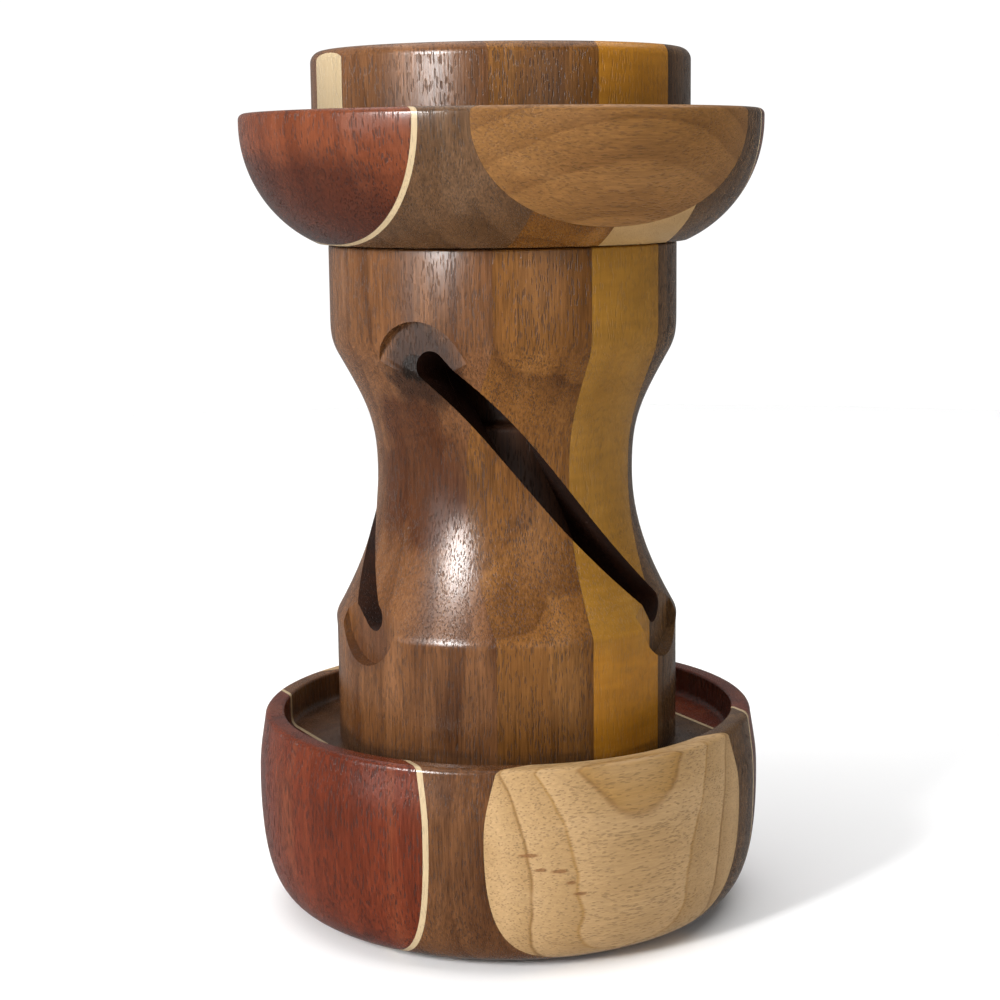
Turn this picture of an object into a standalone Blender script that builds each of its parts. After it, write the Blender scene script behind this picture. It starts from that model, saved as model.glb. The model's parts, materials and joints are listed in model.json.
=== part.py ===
"""Twist nutcracker, turned from laminated hardwood boards.

The stand is a glued block of four boards, turned to a waisted post with a round tray at its foot.
A bore runs down the post to an anvil, and an arched window in the back lets the nut in.
The head is a round hand dish with a palm cap on it, fixed to a ram that fills the bore.
Two steel pins stand out of the ram into two helical slots in the post, so turning the head
clockwise lifts it, and turning it back drives the ram down on to the nut.

Lengths are in millimetres and angles in degrees until a mesh is made. +Z is up, the origin is on
the table under the axis, and the window faces +Y.
"""

import math

import bmesh
import bpy
from mathutils import Matrix

MM = 0.001
GAP = 0.3
STEPS = 40
OUTSIDE = 75.0

# The glued block: three-quarter by three-and-a-half inch boards, with side pieces where it is wide.
BOARD = 19.05
BOARD_WIDTH = 88.9
VENEER = 0.85
STACK_ANGLE = 25.25
STAND_JOINTS = (-19.05, 0.0, 18.5)
DISH_JOINTS = (-34.1, -17.7, 0.0, 18.6)
CAP_JOINTS = (-20.6, 0.0, 18.7)

# Stand
STAND_TOP = 140.6
POST_RADIUS = 36.2
UPPER_KNEE = (36.1, 120.7)
WAIST_RADIUS = 26.9
WAIST_HEIGHT = 93.0
LOWER_KNEE = (36.7, 62.1)
FLANK_ANGLE = 29.0
TRAY_FLOOR = 35.6
TRAY_RADIUS = 48.0
TRAY_RIM_HEIGHT = 42.1
TRAY_RIM_RADIUS = 52.1
BASE_RADIUS = 53.5
BASE_WIDEST_HEIGHT = 27.5
FOOT_RADIUS = 37.5
BORE_RADIUS = 17.5
BORE_FLOOR = 28.0
WINDOW_HALF_WIDTH = 16.0
WINDOW_SILL = 36.0
WINDOW_TOP = 83.0
WINDOW_REACH = 42.0

# Cam slots and the pins in them
SLOT_LOW_HEIGHT = 65.5
STROKE = 52.0
TURN = 91.0
SLOT_HALF_WIDTH = 3.2
SLOT_LOW_ANGLES = {"front": -27.75, "left": -147.75}
RECESS_RADIUS = 10.0
RECESS_FACE = 33.4
TOP_RECESS_TURN = 3.0
TOP_RECESS_DROP = 0.9
PIN_RADIUS = 2.9
PIN_INNER = 8.0
PIN_OUTER = 26.0

# Head
DISH_RADIUS = 54.0
DISH_ARC = 26.6
DISH_ARC_HEIGHT = 165.1
DISH_RIM_HEIGHT = 167.3
DISH_RIM_WALL = 4.5
DISH_SEAT = 150.0
DISH_SKIRT_RADIUS = 38.7
CAP_RADIUS = 39.0
CAP_TOP = 179.6
CAP_ROUND = 2.4
STEM_RADIUS = 12.0
STEM_TOP = 164.7
RAM_RADIUS = 17.2
RAM_BOTTOM = 54.6
RAM_SHOULDER = 104.0

# Press pad, its screw and the anvil
PAD_RADIUS = 16.0
PAD_BOTTOM = 48.4
PAD_DISHING = 1.6
SCREW_RADIUS = 2.0
SCREW_HEAD_RADIUS = 5.0
SCREW_HEAD_BOTTOM = 49.4
SCREW_HEAD_TOP = 51.3
SCREW_TIP = 71.7
ANVIL_DISHING = 2.5


def clear_scene():
    """Remove every object that is already in the file."""
    for old in list(bpy.data.objects):
        bpy.data.objects.remove(old, do_unlink=True)


def new_collection(name):
    """A collection of its own under the scene."""
    collection = bpy.data.collections.new(name)
    bpy.context.scene.collection.children.link(collection)
    return collection


def new_material(name, colour, roughness, metallic=0.0):
    """A plain surface: base colour, roughness and metallic value."""
    material = bpy.data.materials.new(name)
    material.use_nodes = True
    shader = material.node_tree.nodes["Principled BSDF"]
    shader.inputs["Base Color"].default_value = (*colour, 1.0)
    shader.inputs["Roughness"].default_value = roughness
    shader.inputs["Metallic"].default_value = metallic
    return material


def add_object(name, mesh, collection):
    """An object at the origin, which every joint axis passes through."""
    thing = bpy.data.objects.new(name, mesh)
    collection.objects.link(thing)
    return thing


def add_guide(name, mesh):
    """A cutter or form: drawn as wire and left out of renders."""
    guide = add_object(name, mesh, guides)
    guide.hide_render = True
    guide.display_type = "WIRE"
    return guide


def mesh_from_bmesh(name, shape):
    """Write a bmesh, drawn in millimetres, to a mesh in metres."""
    bmesh.ops.recalc_face_normals(shape, faces=shape.faces)
    bmesh.ops.scale(shape, vec=(MM, MM, MM), verts=shape.verts)
    mesh = bpy.data.meshes.new(name)
    shape.to_mesh(mesh)
    shape.free()
    return mesh


def arc(centre, radius, start, end, count):
    """Points (radius, height) along a circle's arc in the turning plane."""
    points = []
    for step in range(count + 1):
        angle = math.radians(start + (end - start) * step / count)
        points.append((centre[0] + radius * math.cos(angle), centre[1] + radius * math.sin(angle)))
    return points


def bezier(start, leave, arrive, end, count):
    """Points along a cubic curve from start to end, pulled towards leave and arrive."""
    points = []
    for step in range(count + 1):
        t = step / count
        weights = ((1 - t) ** 3, 3 * t * (1 - t) ** 2, 3 * t * t * (1 - t), t ** 3)
        corners = (start, leave, arrive, end)
        points.append(tuple(sum(w * c[axis] for w, c in zip(weights, corners)) for axis in (0, 1)))
    return points


def turned_mesh(name, outline, closed=False):
    """The outline's polyline, ready to be turned about Z. Its outer side runs from top to bottom."""
    mesh = bpy.data.meshes.new(name)
    points = []
    for radius, height in outline:
        if not points or math.dist(points[-1], (radius, height)) > 0.02:
            points.append((radius, height))
    edges = [(first, first + 1) for first in range(len(points) - 1)]
    if closed:
        edges.append((len(points) - 1, 0))
    mesh.from_pydata([(radius * MM, 0.0, height * MM) for radius, height in points], edges, [])
    return mesh


def turn(thing, steps):
    """Sweep an object's polyline round the Z axis."""
    screw = thing.modifiers.new("turn", "SCREW")
    screw.axis = "Z"
    screw.steps = steps
    screw.render_steps = steps
    screw.use_merge_vertices = True
    screw.merge_threshold = 0.00001
    return thing


def turned_piece(name, outline, closed=False, steps=STEPS):
    """A piece turned in one."""
    return turn(add_object(name, turned_mesh(name, outline, closed), pieces), steps)


def turned_form(name, outline, closed=False):
    """The turned shape that boards or cuts are taken from."""
    return turn(add_guide(name, turned_mesh(name, outline, closed)), STEPS)


def box_mesh(name, x_range, y_range, z_range, angle=0.0):
    """A box given by its ranges, then turned about Z."""
    shape = bmesh.new()
    bmesh.ops.create_cube(shape, size=1.0)
    ranges = (x_range, y_range, z_range)
    bmesh.ops.scale(shape, vec=[high - low for low, high in ranges], verts=shape.verts)
    bmesh.ops.translate(shape, vec=[(low + high) / 2 for low, high in ranges], verts=shape.verts)
    turn_matrix = Matrix.Rotation(math.radians(angle), 3, "Z")
    bmesh.ops.rotate(shape, matrix=turn_matrix, verts=shape.verts)
    return mesh_from_bmesh(name, shape)


def radial_cylinder_mesh(name, radius, inner, outer, height, angle, segments=24):
    """A cylinder that points out from the axis, from inner to outer."""
    shape = bmesh.new()
    bmesh.ops.create_cone(
        shape, cap_ends=True, segments=segments, radius1=radius, radius2=radius, depth=outer - inner)
    lie_down = Matrix.Rotation(math.radians(90), 3, "Y")
    bmesh.ops.rotate(shape, matrix=lie_down, verts=shape.verts)
    bmesh.ops.translate(shape, vec=((inner + outer) / 2, 0, height), verts=shape.verts)
    swing = Matrix.Rotation(math.radians(angle), 3, "Z")
    bmesh.ops.rotate(shape, matrix=swing, verts=shape.verts)
    return mesh_from_bmesh(name, shape)


def window_mesh(name):
    """The window's arched outline as a flat filled curve, stood up and run out to the tray."""
    spring_line = WINDOW_TOP - WINDOW_HALF_WIDTH
    outline = [(WINDOW_HALF_WIDTH, WINDOW_SILL)]
    outline += arc((0.0, spring_line), WINDOW_HALF_WIDTH, 0, 180, 16)
    outline.append((-WINDOW_HALF_WIDTH, WINDOW_SILL))
    curve = bpy.data.curves.new(name, "CURVE")
    curve.dimensions = "2D"
    curve.fill_mode = "BOTH"
    curve.extrude = WINDOW_REACH / 2
    spline = curve.splines.new("POLY")
    spline.points.add(len(outline) - 1)
    for point, (across, height) in zip(spline.points, outline):
        point.co = (across, height, 0.0, 1.0)
    spline.use_cyclic_u = True
    flat = add_guide(name + "_outline", curve)
    shape = bmesh.new()
    shape.from_mesh(evaluated_mesh(flat))
    bpy.data.objects.remove(flat, do_unlink=True)
    bmesh.ops.remove_doubles(shape, verts=shape.verts, dist=0.001)
    stand_up = Matrix.Rotation(math.radians(90), 3, "X")
    bmesh.ops.rotate(shape, matrix=stand_up, verts=shape.verts)
    bmesh.ops.translate(shape, vec=(0.0, WINDOW_REACH / 2, 0.0), verts=shape.verts)
    return mesh_from_bmesh(name, shape)


def slot_rungs():
    """Along and half-width values that walk up the slot, round both of its ends."""
    end_angles = (15, 40, 65)
    rungs = []
    for angle in end_angles:
        back = SLOT_HALF_WIDTH * math.cos(math.radians(angle))
        rungs.append((0.0, -back, SLOT_HALF_WIDTH * math.sin(math.radians(angle))))
    steps = 16
    for step in range(steps + 1):
        rungs.append((step / steps, 0.0, SLOT_HALF_WIDTH))
    for angle in reversed(end_angles):
        ahead = SLOT_HALF_WIDTH * math.cos(math.radians(angle))
        rungs.append((1.0, ahead, SLOT_HALF_WIDTH * math.sin(math.radians(angle))))
    return rungs


def slot_edge(low_angle, radius, travel, along, side):
    """A point on the slot's edge at one radius, offset square to the pin's path there."""
    sweep = math.radians(TURN) * radius
    length = math.hypot(sweep, STROKE)
    tangent = (-sweep / length, STROKE / length)
    normal = (tangent[1], -tangent[0])
    across = tangent[0] * along + normal[0] * side
    height = SLOT_LOW_HEIGHT + STROKE * travel + tangent[1] * along + normal[1] * side
    angle = math.radians(low_angle - TURN * travel) + across / radius
    return (radius * math.cos(angle), radius * math.sin(angle), height)


def slot_cutter_mesh(name, low_angle):
    """The space a round pin sweeps on its way up the helix, as a loft through the post's wall."""
    shape = bmesh.new()
    rungs = slot_rungs()
    layers = []
    for radius in (BORE_RADIUS - 3.0, 27.0, 48.0):
        layer = []
        for travel, along, half_width in rungs:
            left = slot_edge(low_angle, radius, travel, along, -half_width)
            right = slot_edge(low_angle, radius, travel, along, half_width)
            layer.append((shape.verts.new(left), shape.verts.new(right)))
        layers.append(layer)
    last = len(rungs) - 1
    for inner, outer in zip(layers, layers[1:]):
        for rung in range(last):
            for side in (0, 1):
                shape.faces.new((inner[rung][side], inner[rung + 1][side],
                                 outer[rung + 1][side], outer[rung][side]))
        for rung in (0, last):
            shape.faces.new((inner[rung][0], inner[rung][1], outer[rung][1], outer[rung][0]))
    for layer in (layers[0], layers[-1]):
        for rung in range(last):
            shape.faces.new((layer[rung][0], layer[rung + 1][0], layer[rung + 1][1], layer[rung][1]))
    bmesh.ops.triangulate(shape, faces=shape.faces)
    return mesh_from_bmesh(name, shape)


def boolean(thing, operand, operation):
    """Cut, join or intersect one object with another."""
    modifier = thing.modifiers.new(operation.lower(), "BOOLEAN")
    modifier.object = operand
    modifier.operation = operation
    modifier.solver = "EXACT"


def cut(thing, name, mesh):
    """Take a cutter's shape out of an object."""
    boolean(thing, add_guide(name, mesh), "DIFFERENCE")


def cut_together(thing, name, cutters):
    """Take several cutters that cross each other out of an object in one step."""
    group = bpy.data.collections.new(name)
    guides.children.link(group)
    for cutter in cutters:
        guides.objects.unlink(cutter)
        group.objects.link(cutter)
    modifier = thing.modifiers.new("cuts", "BOOLEAN")
    modifier.operand_type = "COLLECTION"
    modifier.collection = group
    modifier.operation = "DIFFERENCE"
    modifier.solver = "EXACT"


def evaluated_mesh(thing):
    """The object's mesh with its modifiers applied."""
    depsgraph = bpy.context.evaluated_depsgraph_get()
    return bpy.data.meshes.new_from_object(thing.evaluated_get(depsgraph))


def settle(form):
    """Fix a form's modifiers into its mesh, so that it's worked out once for all its boards."""
    solid = evaluated_mesh(form)
    form.modifiers.clear()
    form.data = solid


def saw_board(name, form, x_range, y_range):
    """A board's full length and width, turned to the form."""
    board = add_object(name, box_mesh(name, x_range, y_range, (-5.0, 200.0), STACK_ANGLE), pieces)
    boolean(board, form, "INTERSECT")


def saw_boards(names, form, joints):
    """The boards of one glued block, from left to right, with a glue gap at each joint."""
    edges = [-2 * BOARD, *joints, 2 * BOARD]
    across = BOARD_WIDTH / 2 - GAP / 2
    for name, low, high in zip(names, edges, edges[1:]):
        saw_board(name, form, (low + GAP / 2, high - GAP / 2), (-across, across))


def saw_veneers(prefix, form):
    """The thin pale sheet on each outer face of the block."""
    for side, sign in (("left", -1), ("right", 1)):
        sheet = sorted((sign * (2 * BOARD + GAP / 2), sign * (2 * BOARD + VENEER - GAP / 2)))
        saw_board(f"{prefix}_veneer_{side}", form, sheet, (-OUTSIDE, OUTSIDE))


def saw_side_pieces(prefix, form, light_wood):
    """What widens the block: red wood outside the veneers, light wood on the front and back edges."""
    for side, sign in (("left", -1), ("right", 1)):
        red = sorted((sign * (2 * BOARD + VENEER + GAP / 2), sign * OUTSIDE))
        saw_board(f"{prefix}_padauk_{side}", form, red, (-OUTSIDE, OUTSIDE))
    for side, sign in (("front", -1), ("rear", 1)):
        light = sorted((sign * (BOARD_WIDTH / 2 + GAP / 2), sign * OUTSIDE))
        saw_board(f"{prefix}_{light_wood}_{side}", form, (-OUTSIDE, OUTSIDE), light)


def post_outline():
    """The post's outside from its top, over the upper knee and the waist, to the lower knee."""
    lean = math.radians(FLANK_ANGLE)
    flank = (math.sin(lean), math.cos(lean))
    knee_r, knee_z = UPPER_KNEE
    upper_flank = (knee_r - 2.9 * flank[0], knee_z - 2.9 * flank[1])
    low_r, low_z = LOWER_KNEE
    lower_flank = (low_r - 2.0 * flank[0], low_z + 2.0 * flank[1])
    points = [(0.0, STAND_TOP)]
    points += arc((POST_RADIUS - 0.5, STAND_TOP - 0.5), 0.5, 90, 0, 2)
    points += bezier((POST_RADIUS, knee_z + 5.2), (POST_RADIUS, knee_z + 2.1), UPPER_KNEE, upper_flank, 3)
    points += bezier(
        upper_flank,
        (knee_r - 15.4 * flank[0], knee_z - 15.4 * flank[1]),
        (WAIST_RADIUS, WAIST_HEIGHT + 10.8),
        (WAIST_RADIUS, WAIST_HEIGHT), 6)
    points += bezier(
        (WAIST_RADIUS, WAIST_HEIGHT),
        (WAIST_RADIUS, WAIST_HEIGHT - 11.8),
        (low_r - 11.0 * flank[0], low_z + 11.0 * flank[1]),
        lower_flank, 6)
    points += bezier(lower_flank, LOWER_KNEE, (POST_RADIUS, low_z - 0.5), (POST_RADIUS, low_z - 2.5), 2)
    return points


def base_outline():
    """The tray's floor, its rim and the round base under it."""
    rim_round = 1.3
    points = [(POST_RADIUS, TRAY_FLOOR)]
    points += bezier(
        (TRAY_RADIUS - 2.0, TRAY_FLOOR), (TRAY_RADIUS - 0.6, TRAY_FLOOR),
        (TRAY_RADIUS, TRAY_FLOOR + 0.6), (TRAY_RADIUS, TRAY_FLOOR + 2.0), 3)
    points += [(TRAY_RADIUS, TRAY_RIM_HEIGHT - 0.5), (TRAY_RADIUS + 0.5, TRAY_RIM_HEIGHT)]
    points += arc((TRAY_RIM_RADIUS - rim_round, TRAY_RIM_HEIGHT - rim_round), rim_round, 90, 0, 3)
    points += bezier(
        (TRAY_RIM_RADIUS, TRAY_RIM_HEIGHT - rim_round), (TRAY_RIM_RADIUS + 0.9, 35.0),
        (BASE_RADIUS, BASE_WIDEST_HEIGHT + 5.8), (BASE_RADIUS, BASE_WIDEST_HEIGHT), 3)
    points += bezier(
        (BASE_RADIUS, BASE_WIDEST_HEIGHT), (BASE_RADIUS, 4.0),
        (FOOT_RADIUS + 11.0, 0.0), (FOOT_RADIUS, 0.0), 8)
    points.append((0.0, 0.0))
    return points


def make_stand():
    """The post and tray: the turned form, its bore, window and cam slots, sawn into boards."""
    form = turned_form("stand_form", post_outline() + base_outline())
    bore = turned_form("bore", [
        (0.0, STAND_TOP + 5), (BORE_RADIUS, STAND_TOP + 5), (BORE_RADIUS, BORE_FLOOR), (0.0, BORE_FLOOR)])
    window = add_guide("window", window_mesh("window"))
    cutters = [bore, window]
    for place, low_angle in SLOT_LOW_ANGLES.items():
        cutters.append(add_guide(f"slot_{place}", slot_cutter_mesh(f"slot_{place}", low_angle)))
        for end, travel in (("low", 0.0), ("top", 1.0)):
            name = f"recess_{place}_{end}"
            height = SLOT_LOW_HEIGHT + (STROKE - TOP_RECESS_DROP) * travel
            angle = low_angle - (TURN + TOP_RECESS_TURN) * travel
            cutters.append(add_guide(name, radial_cylinder_mesh(
                name, RECESS_RADIUS, RECESS_FACE, OUTSIDE, height, angle, segments=32)))
    cut_together(form, "stand_cutters", cutters)
    settle(form)
    names = ("stand_walnut_left", "stand_walnut_centre", "stand_maple", "stand_walnut_right")
    saw_boards(names, form, STAND_JOINTS)
    saw_veneers("base", form)
    saw_side_pieces("base", form, "ash")


def make_anvil():
    """The hard disc at the bottom of the bore, dished to hold the nut."""
    radius = BORE_RADIUS - GAP
    outline = bezier(
        (0.0, WINDOW_SILL - ANVIL_DISHING), (8.0, WINDOW_SILL - ANVIL_DISHING),
        (12.0, WINDOW_SILL), (15.0, WINDOW_SILL), 5)
    outline += [(radius, WINDOW_SILL), (radius, BORE_FLOOR + GAP), (0.0, BORE_FLOOR + GAP)]
    return turned_piece("anvil_disc", outline, steps=32)


def make_dish():
    """The hand dish: a shallow turned bowl, sawn into its boards and side pieces."""
    wall = DISH_RADIUS - DISH_RIM_WALL
    rim_round = 1.3
    bottom = STAND_TOP + GAP
    arc_centre = DISH_RADIUS - DISH_ARC
    lowest = math.degrees(math.asin((bottom - DISH_ARC_HEIGHT) / DISH_ARC))
    outline = arc((DISH_RADIUS - rim_round, DISH_RIM_HEIGHT - rim_round), rim_round, 90, 0, 3)
    outline += arc((arc_centre, DISH_ARC_HEIGHT), DISH_ARC, 0, lowest, 8)
    outline += [(STEM_RADIUS + GAP, bottom), (STEM_RADIUS + GAP, DISH_SEAT)]
    outline += bezier(
        (wall - 7.0, DISH_SEAT), (wall - 2.5, DISH_SEAT),
        (wall - 0.4, DISH_SEAT + 4), (wall, DISH_SEAT + 9), 4)
    outline += [(wall, DISH_RIM_HEIGHT - 0.5), (wall + 0.5, DISH_RIM_HEIGHT)]
    form = turned_form("dish_form", outline, closed=True)
    names = (
        "dish_walnut_edge", "dish_walnut_left", "dish_walnut_centre", "dish_maple", "dish_walnut_right")
    saw_boards(names, form, DISH_JOINTS)
    saw_veneers("dish", form)
    saw_side_pieces("dish", form, "cherry")


def make_cap():
    """The palm cap on the dish, with a socket under it for the ram's stem."""
    bottom = DISH_SEAT + GAP
    outline = [(0.0, CAP_TOP)]
    outline += arc((CAP_RADIUS - CAP_ROUND, CAP_TOP - CAP_ROUND), CAP_ROUND, 90, 0, 4)
    outline += [(CAP_RADIUS, bottom), (STEM_RADIUS + GAP, bottom)]
    outline += [(STEM_RADIUS + GAP, STEM_TOP + GAP), (0.0, STEM_TOP + GAP)]
    form = turned_form("cap_form", outline)
    names = ("cap_walnut_left", "cap_walnut_centre", "cap_maple", "cap_walnut_right")
    saw_boards(names, form, CAP_JOINTS)
    saw_veneers("cap", form)


def make_ram():
    """The ram: a stem up into the head, a piston in the bore, pin holes and a screw hole."""
    hole = SCREW_RADIUS + GAP
    chamfer = 1.5
    outline = [
        (0.0, STEM_TOP), (STEM_RADIUS, STEM_TOP), (STEM_RADIUS, RAM_SHOULDER),
        (RAM_RADIUS - chamfer, RAM_SHOULDER), (RAM_RADIUS, RAM_SHOULDER - chamfer),
        (RAM_RADIUS, RAM_BOTTOM + 0.5), (RAM_RADIUS - 0.5, RAM_BOTTOM),
        (hole, RAM_BOTTOM), (hole, SCREW_TIP + GAP), (0.0, SCREW_TIP + GAP)]
    ram = turned_piece("ram", outline)
    for place, angle in SLOT_LOW_ANGLES.items():
        name = f"pin_hole_{place}"
        cut(ram, name, radial_cylinder_mesh(
            name, PIN_RADIUS + GAP, PIN_INNER - GAP, 30.0, SLOT_LOW_HEIGHT, angle))
    return ram


def make_pins():
    """The steel pins that run in the cam slots."""
    for place, angle in SLOT_LOW_ANGLES.items():
        name = f"cam_pin_{place}"
        mesh = radial_cylinder_mesh(name, PIN_RADIUS, PIN_INNER, PIN_OUTER, SLOT_LOW_HEIGHT, angle)
        add_object(name, mesh, pieces)


def make_press_pad():
    """The pad under the ram, which swivels on its screw so that the nut isn't twisted."""
    well = SCREW_HEAD_RADIUS + 1.0
    well_top = SCREW_HEAD_TOP + GAP
    top = RAM_BOTTOM - GAP
    outline = [(PAD_RADIUS, top), (PAD_RADIUS, PAD_BOTTOM + 1.0)]
    outline += bezier(
        (PAD_RADIUS - 1.0, PAD_BOTTOM), (PAD_RADIUS - 5.0, PAD_BOTTOM),
        (well + 3.0, PAD_BOTTOM + PAD_DISHING), (well, PAD_BOTTOM + PAD_DISHING), 5)
    outline += [(well, well_top), (SCREW_RADIUS + 0.5, well_top), (SCREW_RADIUS + 0.5, top)]
    return turned_piece("press_pad", outline, closed=True, steps=32)


def make_pad_screw():
    """The round-headed screw that holds the pad, with a driver slot."""
    outline = [(0.0, SCREW_TIP), (SCREW_RADIUS - 0.6, SCREW_TIP), (SCREW_RADIUS, SCREW_TIP - 2.0)]
    outline += [(SCREW_RADIUS, SCREW_HEAD_TOP), (SCREW_HEAD_RADIUS, SCREW_HEAD_TOP)]
    outline += bezier(
        (SCREW_HEAD_RADIUS, SCREW_HEAD_TOP - 0.6), (SCREW_HEAD_RADIUS, SCREW_HEAD_BOTTOM + 0.6),
        (3.2, SCREW_HEAD_BOTTOM), (0.0, SCREW_HEAD_BOTTOM), 4)
    screw = turned_piece("pad_screw", outline, steps=20)
    depth = (SCREW_HEAD_BOTTOM - 1.0, SCREW_HEAD_BOTTOM + 0.8)
    slot = box_mesh("driver_slot", (-6.0, 6.0), (-0.5, 0.5), depth)
    cut(screw, "driver_slot", slot)
    return screw


WOODS = (
    ("padauk", (0.19, 0.035, 0.016), 0.35),
    ("veneer", (0.75, 0.58, 0.36), 0.40),
    ("maple", (0.47, 0.26, 0.07), 0.35),
    ("ash", (0.56, 0.37, 0.18), 0.35),
    ("cherry", (0.32, 0.16, 0.06), 0.35),
    ("anvil", (0.50, 0.34, 0.17), 0.45),
    ("pad", (0.50, 0.34, 0.17), 0.45),
    ("ram", (0.12, 0.055, 0.025), 0.45),
    ("walnut", (0.15, 0.07, 0.03), 0.35),
)


def finish_pieces():
    """Give each piece its own material and shade it as a turned or sawn surface."""
    for thing in pieces.objects:
        if thing.type != "MESH":
            continue
        if thing.name.startswith("cam_pin") or thing.name == "pad_screw":
            surface = new_material(thing.name, (0.42, 0.42, 0.42), 0.30, 1.0)
        else:
            colour, roughness = next((c, r) for word, c, r in WOODS if word in thing.name)
            surface = new_material(thing.name, colour, roughness)
        thing.data.materials.clear()
        thing.data.materials.append(surface)
        thing.data.shade_smooth()
        thing.data.set_sharp_from_angle(angle=math.radians(30))


def hang_on_axis(name, words):
    """An empty on the nutcracker's axis that carries the pieces of one moving group."""
    axis = bpy.data.objects.new(name, None)
    pieces.objects.link(axis)
    for thing in pieces.objects:
        if thing.type == "MESH" and thing.name.startswith(words):
            thing.parent = axis


clear_scene()
pieces = new_collection("nutcracker")
guides = new_collection("guides")
make_stand()
make_anvil()
make_dish()
make_cap()
make_ram()
make_pins()
make_press_pad()
make_pad_screw()
finish_pieces()
hang_on_axis("pad_slide_axis", ("press_pad",))
hang_on_axis("head_turn_axis", ("dish_", "cap_", "ram", "cam_pin", "pad_screw"))
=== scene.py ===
"""Looks of the twist nutcracker: fine turned surfaces, procedural woods, studio light and camera.

Every CAD node gets a finer piece in its place. The fine pieces are cut the way the CAD ones are: a turned
form, its slots and window, sawn along the joints of the glued block. Lengths are in millimetres until a
mesh is made. Woods are drawn in the block's own axes: x across the boards, y along the joints, z up.
"""

import json
import math

import bmesh
import bpy
from mathutils import Matrix, Vector

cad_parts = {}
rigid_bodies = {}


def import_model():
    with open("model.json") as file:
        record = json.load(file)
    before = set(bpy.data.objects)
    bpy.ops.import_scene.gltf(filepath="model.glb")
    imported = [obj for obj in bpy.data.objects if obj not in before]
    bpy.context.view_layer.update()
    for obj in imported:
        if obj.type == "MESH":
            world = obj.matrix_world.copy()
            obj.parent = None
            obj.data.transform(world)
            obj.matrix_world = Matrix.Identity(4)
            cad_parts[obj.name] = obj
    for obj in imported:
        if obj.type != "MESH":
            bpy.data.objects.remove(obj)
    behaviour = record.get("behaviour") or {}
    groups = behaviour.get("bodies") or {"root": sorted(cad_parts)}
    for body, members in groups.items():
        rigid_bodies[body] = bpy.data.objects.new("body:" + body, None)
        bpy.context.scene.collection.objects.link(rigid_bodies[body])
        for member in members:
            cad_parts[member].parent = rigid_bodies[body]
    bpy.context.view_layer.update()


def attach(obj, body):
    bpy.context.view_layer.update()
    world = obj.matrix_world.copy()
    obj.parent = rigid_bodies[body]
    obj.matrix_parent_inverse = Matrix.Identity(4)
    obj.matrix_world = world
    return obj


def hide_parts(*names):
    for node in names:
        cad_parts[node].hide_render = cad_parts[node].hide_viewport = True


MM = 0.001

# Steps round a turned piece, and round a pin or screw
STEPS = 160
SMALL_STEPS = 48

# A length past every surface, the glue joint, the clearance of mating pieces and the rims' roundings
OUTSIDE = 75.0
JOINT = 0.03
GAP = 0.1
RIM_ROUND = 1.3
LIP_ROUND = 0.6

# The glued block
BOARD = 19.05
BOARD_WIDTH = 88.9
VENEER = 0.85
STACK_ANGLE = 25.25
STAND_JOINTS = (-19.05, 0.0, 18.5)
DISH_JOINTS = (-34.1, -17.7, 0.0, 18.6)
CAP_JOINTS = (-20.6, 0.0, 18.7)
BLOCK_EDGE = 2 * BOARD
CAP_EDGE = 38.5

# Stand
STAND_TOP = 140.6
POST_RADIUS = 36.2
UPPER_KNEE = (36.1, 120.7)
WAIST_RADIUS = 26.9
WAIST_HEIGHT = 93.0
LOWER_KNEE = (36.7, 62.1)
FLANK_ANGLE = 29.0
TRAY_FLOOR = 35.6
TRAY_RADIUS = 48.0
TRAY_RIM_HEIGHT = 42.1
TRAY_RIM_RADIUS = 52.1
BASE_RADIUS = 53.5
BASE_WIDEST_HEIGHT = 27.5
FOOT_RADIUS = 37.5
BORE_RADIUS = 17.5
BORE_FLOOR = 28.0
WINDOW_HALF_WIDTH = 16.0
WINDOW_SILL = 36.0
WINDOW_TOP = 83.0
WINDOW_REACH = 42.0

# Cam slots and pins
SLOT_LOW_HEIGHT = 65.5
STROKE = 52.0
TURN = 91.0
SLOT_HALF_WIDTH = 3.2
SLOT_LOW_ANGLES = {"front": -27.75, "left": -147.75}
RECESS_RADIUS = 10.0
RECESS_FACE = 33.4
TOP_RECESS_TURN = 3.0
TOP_RECESS_DROP = 0.9
SLOT_END_ANGLES = (8, 18, 30, 42, 54, 66, 78)
SLOT_RUNGS = 48
SLOT_LAYERS = (14.5, 22.0, 30.0, 48.0)
PIN_RADIUS = 2.9
PIN_INNER = 8.0
PIN_OUTER = 26.0
PIN_CHAMFER = 0.6
PIN_HOLE_END = 30.0

# Head
DISH_RADIUS = 54.0
DISH_ARC = 26.6
DISH_ARC_HEIGHT = 165.1
DISH_RIM_HEIGHT = 167.3
DISH_RIM_WALL = 4.5
DISH_SEAT = 150.0
DISH_BOTTOM = STAND_TOP + 0.3
CAP_RADIUS = 39.0
CAP_TOP = 179.6
CAP_ROUND = 2.4
STEM_RADIUS = 12.0
STEM_TOP = 164.7
RAM_RADIUS = 17.2
RAM_BOTTOM = 54.6
RAM_SHOULDER = 104.0

# Press pad, its screw and the anvil
PAD_RADIUS = 16.0
PAD_BOTTOM = 48.4
PAD_DISHING = 1.6
SCREW_RADIUS = 2.0
SCREW_HEAD_RADIUS = 5.0
SCREW_HEAD_BOTTOM = 49.4
SCREW_HEAD_TOP = 51.3
SCREW_TIP = 71.7
ANVIL_DISHING = 2.5

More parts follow.
